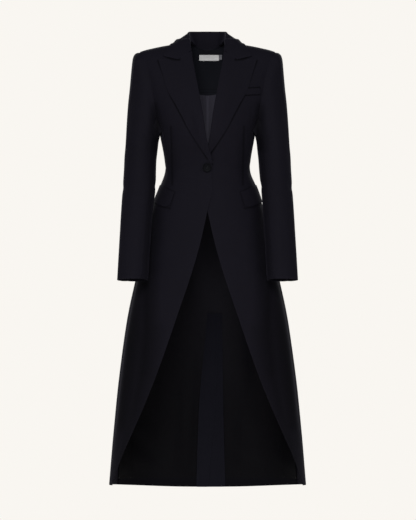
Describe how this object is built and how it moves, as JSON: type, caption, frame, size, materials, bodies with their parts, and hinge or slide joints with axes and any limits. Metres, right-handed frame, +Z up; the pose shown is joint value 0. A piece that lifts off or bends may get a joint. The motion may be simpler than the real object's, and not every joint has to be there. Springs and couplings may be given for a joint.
{
  "type": "cutaway blazer",
  "caption": "Long cutaway blazer filled out as worn: peak lapels, nipped waist, slanted hip flaps and a flared skirt that sweeps open below one waist button.",
  "frame": {"origin": "between the shoulders on the shoulder seam plane, 9 mm below the seam's inner ends, where the wearer's shoulders carry the garment", "axes": "+Z up, the front faces -Y, the wearer's left is +X"},
  "size_m": [0.5508, 0.3978, 1.2817],
  "materials": {
    "shell": "matte midnight wool suiting with a fine weave",
    "facing": "plain dark facing cloth, a little smoother than the shell",
    "lining": "dark satin lining with a soft sheen",
    "label": "white woven label cloth, bare",
    "button": "dark polished horn-like plastic"
  },
  "bodies": {
    "root": {"front_right": "shell", "front_left": "shell", "side_right": "shell", "side_left": "shell", "back_right": "shell", "back_left": "shell", "lapel_right": "shell", "lapel_left": "shell", "collar": "shell", "sleeve_top_right": "shell", "sleeve_top_left": "shell", "sleeve_under_right": "shell", "sleeve_under_left": "shell", "flap_right": "shell", "flap_left": "shell", "chest_welt": "shell", "vent_underlap": "shell", "vent_facing": "shell", "hem_right": "shell", "hem_left": "shell", "neck_facing": "facing", "lining_back_right": "lining", "lining_back_left": "lining", "lining_side_right": "lining", "lining_side_left": "lining", "label": "label", "size_tab": "label", "button": "button"}
  },
  "joints": []
}
